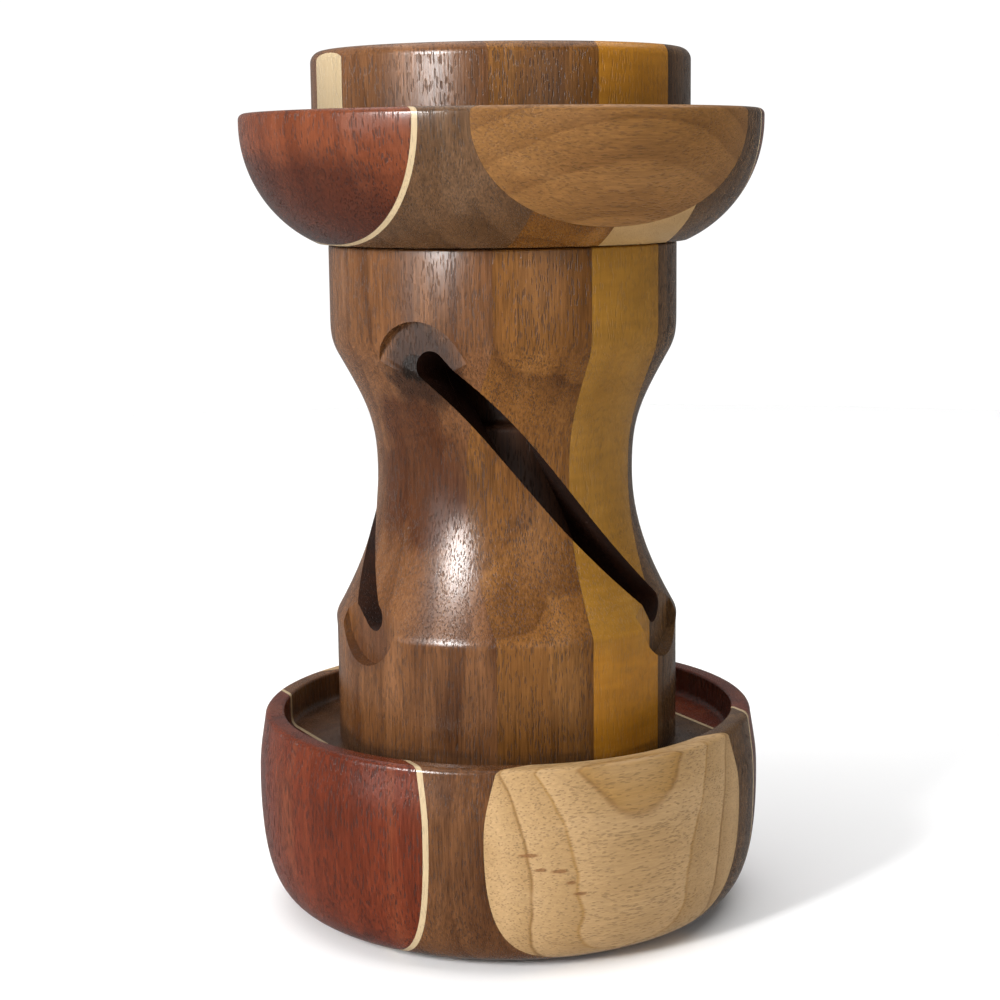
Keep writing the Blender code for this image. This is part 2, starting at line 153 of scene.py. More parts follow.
# Camera, and the floor and room round the object
CAMERA_ANGLE = -93.25
CAMERA_DISTANCE = 432.8
CAMERA_HEIGHT = 157.6
CAMERA_PITCH = 9.39
CAMERA_PAN = 0.15
CAMERA_ROLL = -0.66
CAMERA_LENS = 74.2
FLOOR_RADIUS = 900.0
FLOOR_DROP = 0.2
LIGHT_AIM_HEIGHT = 0.09
ROOM_LEFT = 0.38
ROOM_RIGHT = 0.20
ROOM_FOR_CAMERA = 1.05


# ---------------------------------------------------------------- shapes

def arc(centre, radius, start, end, count):
    """Points (radius, height) along a circle's arc in the turning plane."""
    points = []
    for step in range(count + 1):
        angle = math.radians(start + (end - start) * step / count)
        points.append((centre[0] + radius * math.cos(angle), centre[1] + radius * math.sin(angle)))
    return points


def bezier(start, leave, arrive, end, count):
    """Points along a cubic curve from start to end, pulled towards leave and arrive."""
    points = []
    for step in range(count + 1):
        t = step / count
        weights = ((1 - t) ** 3, 3 * t * (1 - t) ** 2, 3 * t * t * (1 - t), t ** 3)
        corners = (start, leave, arrive, end)
        points.append(tuple(sum(w * c[axis] for w, c in zip(weights, corners)) for axis in (0, 1)))
    return points


def add_object(name, mesh):
    """An object at the origin, where every CAD node sits."""
    thing = bpy.data.objects.new(name, mesh)
    bpy.context.scene.collection.objects.link(thing)
    return thing


def turned(name, outline, closed=False, steps=STEPS):
    """An object turned about Z from an outline whose outer side runs from top to bottom."""
    points = []
    for radius, height in outline:
        if not points or math.dist(points[-1], (radius, height)) > 0.02:
            points.append((radius, height))
    edges = [(first, first + 1) for first in range(len(points) - 1)]
    if closed:
        edges.append((len(points) - 1, 0))
    mesh = bpy.data.meshes.new(name)
    mesh.from_pydata([(radius * MM, 0.0, height * MM) for radius, height in points], edges, [])
    thing = add_object(name, mesh)
    screw = thing.modifiers.new("turn", "SCREW")
    screw.axis = "Z"
    screw.steps = steps
    screw.render_steps = steps
    screw.use_merge_vertices = True
    screw.merge_threshold = 0.000005
    settle(thing)
    return thing


def settle(thing):
    """Work the object's modifiers into its mesh."""
    depsgraph = bpy.context.evaluated_depsgraph_get()
    solid = bpy.data.meshes.new_from_object(thing.evaluated_get(depsgraph))
    thing.modifiers.clear()
    thing.data = solid


def discard(things):
    """Remove helper objects that have done their work."""
    for thing in things:
        bpy.data.objects.remove(thing, do_unlink=True)


def mesh_from_bmesh(name, shape):
    """Write a bmesh, drawn in millimetres, to a mesh in metres."""
    bmesh.ops.recalc_face_normals(shape, faces=shape.faces)
    bmesh.ops.scale(shape, vec=(MM, MM, MM), verts=shape.verts)
    mesh = bpy.data.meshes.new(name)
    shape.to_mesh(mesh)
    shape.free()
    return mesh


def box_mesh(name, x_range, y_range, z_range, angle=0.0):
    """A box given by its ranges, then turned about Z."""
    shape = bmesh.new()
    bmesh.ops.create_cube(shape, size=1.0)
    ranges = (x_range, y_range, z_range)
    bmesh.ops.scale(shape, vec=[high - low for low, high in ranges], verts=shape.verts)
    bmesh.ops.translate(shape, vec=[(low + high) / 2 for low, high in ranges], verts=shape.verts)
    bmesh.ops.rotate(shape, matrix=Matrix.Rotation(math.radians(angle), 3, "Z"), verts=shape.verts)
    return mesh_from_bmesh(name, shape)


def radial_cylinder_mesh(name, radius, inner, outer, height, angle, segments=64):
    """A cylinder that points out from the axis, from inner to outer."""
    shape = bmesh.new()
    bmesh.ops.create_cone(
        shape, cap_ends=True, segments=segments, radius1=radius, radius2=radius, depth=outer - inner)
    bmesh.ops.rotate(shape, matrix=Matrix.Rotation(math.radians(90), 3, "Y"), verts=shape.verts)
    bmesh.ops.translate(shape, vec=((inner + outer) / 2, 0, height), verts=shape.verts)
    bmesh.ops.rotate(shape, matrix=Matrix.Rotation(math.radians(angle), 3, "Z"), verts=shape.verts)
    return mesh_from_bmesh(name, shape)


def window_mesh(name):
    """The window's arched opening, run out through the back of the post."""
    spring_line = WINDOW_TOP - WINDOW_HALF_WIDTH
    outline = [(WINDOW_HALF_WIDTH, WINDOW_SILL)]
    outline += arc((0.0, spring_line), WINDOW_HALF_WIDTH, 0, 180, 48)
    outline.append((-WINDOW_HALF_WIDTH, WINDOW_SILL))
    shape = bmesh.new()
    face = shape.faces.new([shape.verts.new((across, 0.0, height)) for across, height in outline])
    swept = bmesh.ops.extrude_face_region(shape, geom=[face])
    moved = [item for item in swept["geom"] if isinstance(item, bmesh.types.BMVert)]
    bmesh.ops.translate(shape, vec=(0.0, WINDOW_REACH, 0.0), verts=moved)
    return mesh_from_bmesh(name, shape)


def slot_rungs():
    """Along and half-width values that walk up the slot, round both of its ends."""
    rungs = []
    for angle in SLOT_END_ANGLES:
        back = SLOT_HALF_WIDTH * math.cos(math.radians(angle))
        rungs.append((0.0, -back, SLOT_HALF_WIDTH * math.sin(math.radians(angle))))
    for step in range(SLOT_RUNGS + 1):
        rungs.append((step / SLOT_RUNGS, 0.0, SLOT_HALF_WIDTH))
    for angle in reversed(SLOT_END_ANGLES):
        ahead = SLOT_HALF_WIDTH * math.cos(math.radians(angle))
        rungs.append((1.0, ahead, SLOT_HALF_WIDTH * math.sin(math.radians(angle))))
    return rungs


def slot_edge(low_angle, radius, travel, along, side):
    """A point on the slot's edge at one radius, offset square to the pin's path there."""
    sweep = math.radians(TURN) * radius
    length = math.hypot(sweep, STROKE)
    tangent = (-sweep / length, STROKE / length)
    normal = (tangent[1], -tangent[0])
    across = tangent[0] * along + normal[0] * side
    height = SLOT_LOW_HEIGHT + STROKE * travel + tangent[1] * along + normal[1] * side
    angle = math.radians(low_angle - TURN * travel) + across / radius
    return (radius * math.cos(angle), radius * math.sin(angle), height)


def slot_cutter_mesh(name, low_angle):
    """The space a round pin sweeps on its way up the helix, as a loft through the post's wall."""
    shape = bmesh.new()
    rungs = slot_rungs()
    layers = []
    for radius in SLOT_LAYERS:
        layer = []
        for travel, along, half_width in rungs:
            pair = [slot_edge(low_angle, radius, travel, along, side) for side in (-half_width, half_width)]
            layer.append([shape.verts.new(point) for point in pair])
        layers.append(layer)
    last = len(rungs) - 1
    for inner, outer in zip(layers, layers[1:]):
        for rung in range(last):
            for side in (0, 1):
                shape.faces.new((inner[rung][side], inner[rung + 1][side],
                                 outer[rung + 1][side], outer[rung][side]))
        for rung in (0, last):
            shape.faces.new((inner[rung][0], inner[rung][1], outer[rung][1], outer[rung][0]))
    for layer in (layers[0], layers[-1]):
        for rung in range(last):
            shape.faces.new((layer[rung][0], layer[rung + 1][0], layer[rung + 1][1], layer[rung][1]))
    bmesh.ops.triangulate(shape, faces=shape.faces)
    return mesh_from_bmesh(name, shape)


def carve(thing, cutters):
    """Take several cutters that cross each other out of an object in one step."""
    group = bpy.data.collections.new(thing.name + "_cutters")
    bpy.context.scene.collection.children.link(group)
    for cutter in cutters:
        group.objects.link(cutter)
    modifier = thing.modifiers.new("cuts", "BOOLEAN")
    modifier.operand_type = "COLLECTION"
    modifier.collection = group
    modifier.operation = "DIFFERENCE"
    modifier.solver = "EXACT"
    settle(thing)
    discard(cutters)
    bpy.data.collections.remove(group)


# ---------------------------------------------------------------- pieces

def show(thing, node, body, surface, sharp=30.0):
    """Finish a fine piece: its material and shading, the body it rides on and the CAD node it replaces."""
    thing.data.materials.clear()
    thing.data.materials.append(surface)
    thing.data.shade_smooth()
    thing.data.set_sharp_from_angle(angle=math.radians(sharp))
    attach(thing, body)
    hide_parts(node)
    return thing


def saw_board(node, form, x_range, y_range, body, surface):
    """A board's full length and width, turned to the form."""
    board = add_object("fine_" + node, box_mesh(node, x_range, y_range, (-5.0, 200.0), STACK_ANGLE))
    modifier = board.modifiers.new("turn", "BOOLEAN")
    modifier.object = form
    modifier.operation = "INTERSECT"
    modifier.solver = "EXACT"
    settle(board)
    return show(board, node, body, surface)


def saw_boards(boards, form, joints, body, edge=BLOCK_EDGE):
    """The boards of one glued block, from left to right: node, slot and surface for each."""
    edges = [-edge, *joints, edge]
    across = BOARD_WIDTH / 2 - JOINT / 2
    for (node, slot, surface), low, high in zip(boards, edges, edges[1:]):
        limits = (low + JOINT / 2, high - JOINT / 2)
        saw_board(node, form, limits, (-across, across), body, surface)


def shade_slot_walls(surface):
    """Give the faces that the cam slots and the bore cut in the post a dark surface: painted shade inside
    the slots and the bore.
    """
    lowest = TRAY_RIM_HEIGHT + 5.0
    highest = STAND_TOP - 2.0
    steepest = 0.35
    for thing in [piece for piece in bpy.data.objects if piece.name.startswith("fine_stand_")]:
        thing.data.materials.append(surface)
        for face in thing.data.polygons:
            x, y, z = (value / MM for value in face.center)
            in_post = lowest < z < highest and math.hypot(x, y) < RECESS_FACE
            in_window = abs(x) < WINDOW_HALF_WIDTH + 0.5 and y > 5.0
            outward = Vector((x, y, 0.0)).normalized()
            if in_post and not in_window and face.normal.dot(outward) < steepest:
                face.material_index = 1


def saw_veneers(prefix, form, body, surface, edge=BLOCK_EDGE):
    """The thin pale sheet on each outer face of the block."""
    for side, sign in (("left", -1), ("right", 1)):
        sheet = sorted((sign * (edge + JOINT / 2), sign * (edge + VENEER - JOINT / 2)))
        saw_board(f"{prefix}_veneer_{side}", form, sheet, (-OUTSIDE, OUTSIDE), body, surface)


def saw_side_pieces(prefix, form, body, light_wood, light_surface, red_surface):
    """What widens the block: red wood outside the veneers, light wood on the front and back edges."""
    for side, sign in (("left", -1), ("right", 1)):
        red = sorted((sign * (BLOCK_EDGE + VENEER + JOINT / 2), sign * OUTSIDE))
        saw_board(f"{prefix}_padauk_{side}", form, red, (-OUTSIDE, OUTSIDE), body, red_surface)
    for side, sign in (("front", -1), ("rear", 1)):
        light = sorted((sign * (BOARD_WIDTH / 2 + JOINT / 2), sign * OUTSIDE))
        node = f"{prefix}_{light_wood}_{side}"
        saw_board(node, form, (-OUTSIDE, OUTSIDE), light, body, light_surface)


def post_outline():
    """The post's outside from its top, over the upper knee and the waist, to the lower knee."""
    top_round = 0.5
    knee_r, knee_z = UPPER_KNEE
    low_r, low_z = LOWER_KNEE

    def below_upper_knee(along):
        lean = math.radians(FLANK_ANGLE)
        return (knee_r - along * math.sin(lean), knee_z - along * math.cos(lean))

    def above_lower_knee(along):
        lean = math.radians(FLANK_ANGLE)
        return (low_r - along * math.sin(lean), low_z + along * math.cos(lean))

    waist = (WAIST_RADIUS, WAIST_HEIGHT)
    points = [(0.0, STAND_TOP)]
    points += arc((POST_RADIUS - top_round, STAND_TOP - top_round), top_round, 90, 0, 4)
    points += bezier(
        (POST_RADIUS, knee_z + 5.2), (POST_RADIUS, knee_z + 2.1), UPPER_KNEE, below_upper_knee(2.9), 10)
    points += bezier(
        below_upper_knee(2.9), below_upper_knee(15.4), (WAIST_RADIUS, WAIST_HEIGHT + 10.8), waist, 22)
    points += bezier(
        waist, (WAIST_RADIUS, WAIST_HEIGHT - 11.8), above_lower_knee(11.0), above_lower_knee(2.0), 22)
    points += bezier(
        above_lower_knee(2.0), LOWER_KNEE, (POST_RADIUS, low_z - 0.5), (POST_RADIUS, low_z - 2.5), 8)
    return points


def base_outline():
    """The tray's floor, its rim and the round base under it."""
    rim_bottom = TRAY_RIM_HEIGHT - RIM_ROUND
    points = [(POST_RADIUS, TRAY_FLOOR)]
    points += bezier(
        (TRAY_RADIUS - 2.0, TRAY_FLOOR), (TRAY_RADIUS - 0.6, TRAY_FLOOR),
        (TRAY_RADIUS, TRAY_FLOOR + 0.6), (TRAY_RADIUS, TRAY_FLOOR + 2.0), 8)
    points += arc((TRAY_RADIUS + LIP_ROUND, TRAY_RIM_HEIGHT - LIP_ROUND), LIP_ROUND, 180, 90, 4)
    points += arc((TRAY_RIM_RADIUS - RIM_ROUND, rim_bottom), RIM_ROUND, 90, 0, 8)
    points += bezier(
        (TRAY_RIM_RADIUS, rim_bottom), (TRAY_RIM_RADIUS + 0.9, 35.0),
        (BASE_RADIUS, BASE_WIDEST_HEIGHT + 5.8), (BASE_RADIUS, BASE_WIDEST_HEIGHT), 10)
    points += bezier(
        (BASE_RADIUS, BASE_WIDEST_HEIGHT), (BASE_RADIUS, 4.0),
        (FOOT_RADIUS + 11.0, 0.0), (FOOT_RADIUS, 0.0), 30)
    points.append((0.0, 0.0))
    return points


def make_stand(woods):
    """The post and tray: the turned form, its bore, window and cam slots, sawn into boards."""
    form = turned("stand_form", post_outline() + base_outline())
    above = STAND_TOP + 5
    bore = [(0.0, above), (BORE_RADIUS, above), (BORE_RADIUS, BORE_FLOOR), (0.0, BORE_FLOOR)]
    cutters = [turned("bore", bore), add_object("window", window_mesh("window"))]
    for place, low_angle in SLOT_LOW_ANGLES.items():
        cutters.append(add_object(f"slot_{place}", slot_cutter_mesh(f"slot_{place}", low_angle)))
        for end, travel in (("low", 0.0), ("top", 1.0)):
            name = f"recess_{place}_{end}"
            height = SLOT_LOW_HEIGHT + (STROKE - TOP_RECESS_DROP) * travel
            angle = low_angle - (TURN + TOP_RECESS_TURN) * travel
            cutters.append(add_object(name, radial_cylinder_mesh(
                name, RECESS_RADIUS, RECESS_FACE, OUTSIDE, height, angle)))
    carve(form, cutters)
    boards = (
        ("stand_walnut_left", "walnut", woods["walnut_left"]),
        ("stand_walnut_centre", "walnut", woods["walnut_centre"]),
        ("stand_maple", "maple", woods["maple"]),
        ("stand_walnut_right", "walnut", woods["walnut_right"]))
    saw_boards(boards, form, STAND_JOINTS, "stand")
    shade_slot_walls(woods["slot_wall_painted_shade"])
    saw_veneers("base", form, "stand", woods["veneer"])
    saw_side_pieces("base", form, "stand", "ash", woods["ash"], woods["padauk_base"])
    discard([form])


def make_anvil(woods):
    """The hard disc at the bottom of the bore, dished to hold the nut."""
    radius = BORE_RADIUS - GAP
    edge_round = 0.4
    outline = bezier(
        (0.0, WINDOW_SILL - ANVIL_DISHING), (8.0, WINDOW_SILL - ANVIL_DISHING),
        (12.0, WINDOW_SILL), (15.0, WINDOW_SILL), 14)
    outline += arc((radius - edge_round, WINDOW_SILL - edge_round), edge_round, 90, 0, 4)
    outline += [(radius, BORE_FLOOR + GAP), (0.0, BORE_FLOOR + GAP)]
    show(turned("fine_anvil_disc", outline), "anvil_disc", "stand", woods["press"])


def make_dish(woods):
    """The hand dish: a shallow turned bowl, sawn into its boards and side pieces."""
    wall = DISH_RADIUS - DISH_RIM_WALL
    arc_centre = DISH_RADIUS - DISH_ARC
    lowest = math.degrees(math.asin((DISH_BOTTOM - DISH_ARC_HEIGHT) / DISH_ARC))
    outline = arc((DISH_RADIUS - RIM_ROUND, DISH_RIM_HEIGHT - RIM_ROUND), RIM_ROUND, 90, 0, 8)
    outline += arc((arc_centre, DISH_ARC_HEIGHT), DISH_ARC, 0, lowest, 30)
    outline += [(STEM_RADIUS + GAP, DISH_BOTTOM), (STEM_RADIUS + GAP, DISH_SEAT)]
    outline += bezier(
        (wall - 7.0, DISH_SEAT), (wall - 2.5, DISH_SEAT),
        (wall - 0.4, DISH_SEAT + 4), (wall, DISH_SEAT + 9), 14)
    outline += arc((wall + LIP_ROUND, DISH_RIM_HEIGHT - LIP_ROUND), LIP_ROUND, 180, 90, 4)
    form = turned("dish_form", outline, closed=True)
    boards = (
        ("dish_walnut_edge", "walnut", woods["walnut_grey"]),
        ("dish_walnut_left", "walnut", woods["walnut_grey"]),
        ("dish_walnut_centre", "walnut", woods["walnut_centre"]),
        ("dish_maple", "maple", woods["maple_pale"]),
        ("dish_walnut_right", "walnut", woods["walnut_right"]))
    saw_boards(boards, form, DISH_JOINTS, "head")
    saw_veneers("dish", form, "head", woods["veneer"])
    saw_side_pieces("dish", form, "head", "cherry", woods["cherry"], woods["padauk_dish"])
    discard([form])


def make_cap(woods):
    """The palm cap on the dish, with a socket under it for the ram's stem."""
    bottom = DISH_SEAT + GAP
    outline = [(0.0, CAP_TOP)]
    outline += arc((CAP_RADIUS - CAP_ROUND, CAP_TOP - CAP_ROUND), CAP_ROUND, 90, 0, 12)
    outline += [(CAP_RADIUS, bottom), (STEM_RADIUS + GAP, bottom)]
    outline += [(STEM_RADIUS + GAP, STEM_TOP + GAP), (0.0, STEM_TOP + GAP)]
    form = turned("cap_form", outline)
    boards = (
        ("cap_walnut_left", "walnut", woods["walnut_cap"]),
        ("cap_walnut_centre", "walnut", woods["walnut_centre"]),
        ("cap_maple", "maple", woods["maple"]),
        ("cap_walnut_right", "walnut", woods["walnut_right"]))
    saw_boards(boards, form, CAP_JOINTS, "head", edge=CAP_EDGE)
    saw_veneers("cap", form, "head", woods["veneer"], edge=CAP_EDGE)
    discard([form])


def make_ram(woods):
    """The ram: a stem up into the head, a piston in the bore, pin holes and a screw hole."""
    hole = SCREW_RADIUS + GAP
    shoulder_round = 1.5
    foot_round = 0.6
    outline = [(0.0, STEM_TOP), (STEM_RADIUS, STEM_TOP), (STEM_RADIUS, RAM_SHOULDER + shoulder_round)]
    outline += arc(
        (STEM_RADIUS + shoulder_round, RAM_SHOULDER + shoulder_round), shoulder_round, 180, 270, 6)
    outline += arc((RAM_RADIUS - shoulder_round, RAM_SHOULDER - shoulder_round), shoulder_round, 90, 0, 6)
    outline += arc((RAM_RADIUS - foot_round, RAM_BOTTOM + foot_round), foot_round, 0, -90, 4)
    outline += [(hole, RAM_BOTTOM), (hole, SCREW_TIP + GAP), (0.0, SCREW_TIP + GAP)]
    ram = turned("fine_ram", outline)
    holes = []
    for place, angle in SLOT_LOW_ANGLES.items():
        name = f"pin_hole_{place}"
        holes.append(add_object(name, radial_cylinder_mesh(
            name, PIN_RADIUS + GAP / 2, PIN_INNER - GAP, PIN_HOLE_END, SLOT_LOW_HEIGHT, angle)))
    carve(ram, holes)
    show(ram, "ram", "head", woods["ram"])


def make_pins(woods):
    """The steel pins that run in the cam slots, with a chamfered outer end."""
    outline = [(0.0, PIN_OUTER), (PIN_RADIUS - PIN_CHAMFER, PIN_OUTER)]
    outline += [(PIN_RADIUS, PIN_OUTER - PIN_CHAMFER), (PIN_RADIUS, PIN_INNER), (0.0, PIN_INNER)]
    for place, angle in SLOT_LOW_ANGLES.items():
        pin = turned(f"fine_cam_pin_{place}", outline, steps=SMALL_STEPS)
        lay_down = Matrix.Rotation(math.radians(90), 4, "Y")
        swing = Matrix.Rotation(math.radians(angle), 4, "Z")
        pin.data.transform(Matrix.Translation((0, 0, SLOT_LOW_HEIGHT * MM)) @ swing @ lay_down)
        show(pin, f"cam_pin_{place}", "head", woods["steel"])


def make_press_pad(woods):
    """The pad under the ram, which swivels on its screw so that the nut isn't twisted."""
    well = SCREW_HEAD_RADIUS + 1.0
    well_top = SCREW_HEAD_TOP + GAP
    top = RAM_BOTTOM - 0.15
    top_round = 0.5
    foot_round = 1.0
    outline = arc((PAD_RADIUS - top_round, top - top_round), top_round, 90, 0, 4)
    outline += arc((PAD_RADIUS - foot_round, PAD_BOTTOM + foot_round), foot_round, 0, -90, 6)
    outline += bezier(
        (PAD_RADIUS - 2.0, PAD_BOTTOM), (PAD_RADIUS - 5.0, PAD_BOTTOM),
        (well + 3.0, PAD_BOTTOM + PAD_DISHING), (well, PAD_BOTTOM + PAD_DISHING), 12)
    outline += [(well, well_top), (SCREW_RADIUS + 0.2, well_top), (SCREW_RADIUS + 0.2, top)]
    pad = turned("fine_press_pad", outline, closed=True)
    show(pad, "press_pad", "press_pad", woods["press"])


def make_pad_screw(woods):
    """The round-headed screw that holds the pad, with a driver slot."""
    outline = [(0.0, SCREW_TIP), (SCREW_RADIUS - 0.6, SCREW_TIP), (SCREW_RADIUS, SCREW_TIP - 2.0)]
    outline += [(SCREW_RADIUS, SCREW_HEAD_TOP), (SCREW_HEAD_RADIUS, SCREW_HEAD_TOP)]
    outline += bezier(
        (SCREW_HEAD_RADIUS, SCREW_HEAD_TOP - 0.6), (SCREW_HEAD_RADIUS, SCREW_HEAD_BOTTOM + 0.6),
        (3.2, SCREW_HEAD_BOTTOM), (0.0, SCREW_HEAD_BOTTOM), 12)
    screw = turned("fine_pad_screw", outline, steps=SMALL_STEPS)
    depth = (SCREW_HEAD_BOTTOM - 1.0, SCREW_HEAD_BOTTOM + 0.8)
    slot = box_mesh("driver_slot", (-6.0, 6.0), (-0.5, 0.5), depth)
    carve(screw, [add_object("driver_slot", slot)])
    show(screw, "pad_screw", "head", woods["steel"])


# ---------------------------------------------------------------- materials

class Nodes:
    """Adds nodes to one material and links them. Lengths inside are in millimetres."""

    def __init__(self, name):
        self.material = bpy.data.materials.new(name)
        self.material.use_nodes = True
        self.tree = self.material.node_tree
        self.shader = self.tree.nodes["Principled BSDF"]

    def feed(self, socket, value):
        """Link another node's output to a socket, or set its plain value."""
        if isinstance(value, bpy.types.NodeSocket):
            self.tree.links.new(value, socket)
        elif isinstance(value, tuple) and len(value) == 3 and socket.type == "RGBA":
            socket.default_value = (*value, 1.0)
        else:
            socket.default_value = value

    def math(self, operation, first, second=0.0, third=0.0):
        """The result of one Math node."""
        node = self.tree.nodes.new("ShaderNodeMath")
        node.operation = operation
        for socket, value in zip(node.inputs, (first, second, third)):
            self.feed(socket, value)
        return node.outputs[0]

    def block_position(self):
        """The place in the glued block's axes, in millimetres."""
        place = self.tree.nodes.new("ShaderNodeTexCoord")
        turn_back = self.tree.nodes.new("ShaderNodeMapping")
        turn_back.vector_type = "POINT"
        turn_back.inputs["Rotation"].default_value = (0.0, 0.0, -math.radians(STACK_ANGLE))
        turn_back.inputs["Scale"].default_value = (1 / MM, 1 / MM, 1 / MM)
        self.feed(turn_back.inputs["Vector"], place.outputs["Object"])
        return turn_back.outputs["Vector"]

    def scaled(self, vector, scale, shift=(0.0, 0.0, 0.0)):
        """A vector times a scale for each axis, then shifted."""
        node = self.tree.nodes.new("ShaderNodeMapping")
        node.vector_type = "POINT"
        node.inputs["Scale"].default_value = scale
        node.inputs["Location"].default_value = shift
        self.feed(node.inputs["Vector"], vector)
        return node.outputs["Vector"]

    def noise(self, vector, detail=2.0, roughness=0.5, distortion=0.0):
        """Smooth noise from 0 to 1 about 0.5, one lump per unit of the vector."""
        node = self.tree.nodes.new("ShaderNodeTexNoise")
        node.inputs["Scale"].default_value = 1.0
        node.inputs["Detail"].default_value = detail
        node.inputs["Roughness"].default_value = roughness
        node.inputs["Distortion"].default_value = distortion
        self.feed(node.inputs["Vector"], vector)
        return node.outputs["Fac"]

    def cells(self, vector):
        """The distance to the nearest of the points scattered one to each unit of the vector."""
        node = self.tree.nodes.new("ShaderNodeTexVoronoi")
        node.inputs["Scale"].default_value = 1.0
        self.feed(node.inputs["Vector"], vector)
        return node.outputs["Distance"]

    def length(self, vector):
        """A vector's length."""
        node = self.tree.nodes.new("ShaderNodeVectorMath")
        node.operation = "LENGTH"
        self.feed(node.inputs[0], vector)
        return node.outputs["Value"]

    def ramp(self, value, stops):
        """Colour or grey stops at places from 0 to 1."""
        node = self.tree.nodes.new("ShaderNodeValToRGB")
        self.feed(node.inputs[0], value)
        marks = node.color_ramp.elements
        marks[0].position = stops[0][0]
        marks[-1].position = stops[-1][0]
        for place, colour in stops[1:-1]:
            marks.new(place)
        for mark, (place, colour) in zip(marks, stops):
            mark.color = (*colour, 1.0) if isinstance(colour, tuple) else (colour, colour, colour, 1.0)
        return node.outputs["Color"]

    def blend(self, factor, first, second, how="MIX"):
        """Two colours mixed by a factor."""
        node = self.tree.nodes.new("ShaderNodeMix")
        node.data_type = "RGBA"
        node.blend_type = how
        colours = [socket for socket in node.inputs if socket.type == "RGBA"]
        self.feed(node.inputs[0], factor)
        self.feed(colours[0], first)
        self.feed(colours[1], second)
        return next(socket for socket in node.outputs if socket.type == "RGBA")

    def bump(self, height, distance, strength=1.0):
        """Fine relief, with its depth in millimetres."""
        node = self.tree.nodes.new("ShaderNodeBump")
        node.inputs["Strength"].default_value = strength
        node.inputs["Distance"].default_value = distance * MM
        self.feed(node.inputs["Height"], height)
        return node.outputs["Normal"]


def range_mask(nodes, value, low, high):
    """0 below low, 1 above high, smooth in between."""
    node = nodes.tree.nodes.new("ShaderNodeMapRange")
    node.interpolation_type = "SMOOTHSTEP"
    node.inputs["From Min"].default_value = low
    node.inputs["From Max"].default_value = high
    nodes.feed(node.inputs["Value"], value)
    return node.outputs["Result"]


def along_grain(grain, across, along):
    """A noise scale: lumps of one width across the grain and another length along it."""
    return tuple(1 / along if axis == grain else 1 / across for axis in "xyz")


def on_block(side, radius, height):
    """A point in the block's axes. side is degrees to the right of the camera."""
    angle = math.radians(CAMERA_ANGLE + side - STACK_ANGLE)
    return (radius * math.cos(angle), radius * math.sin(angle), height)


def stain_and_shade_patch(nodes, place, colour, centre, size, tone, strength):
    """A soft-edged patch of another tone about a point: a growth mark or other mark of the wood's own
    colour, or painted shade in a hollow or under a part.
    """
    near = nodes.scaled(
        place, tuple(1 / reach for reach in size), tuple(-c / reach for c, reach in zip(centre, size)))
    ragged = nodes.noise(nodes.scaled(near, (2.0, 2.0, 2.0)), 3.0, 0.6)
    away = nodes.math("MULTIPLY_ADD", ragged, 0.9, nodes.length(near))
    return nodes.blend(nodes.math("MULTIPLY", range_mask(nodes, away, 1.45, 1.0), strength), colour, tone)


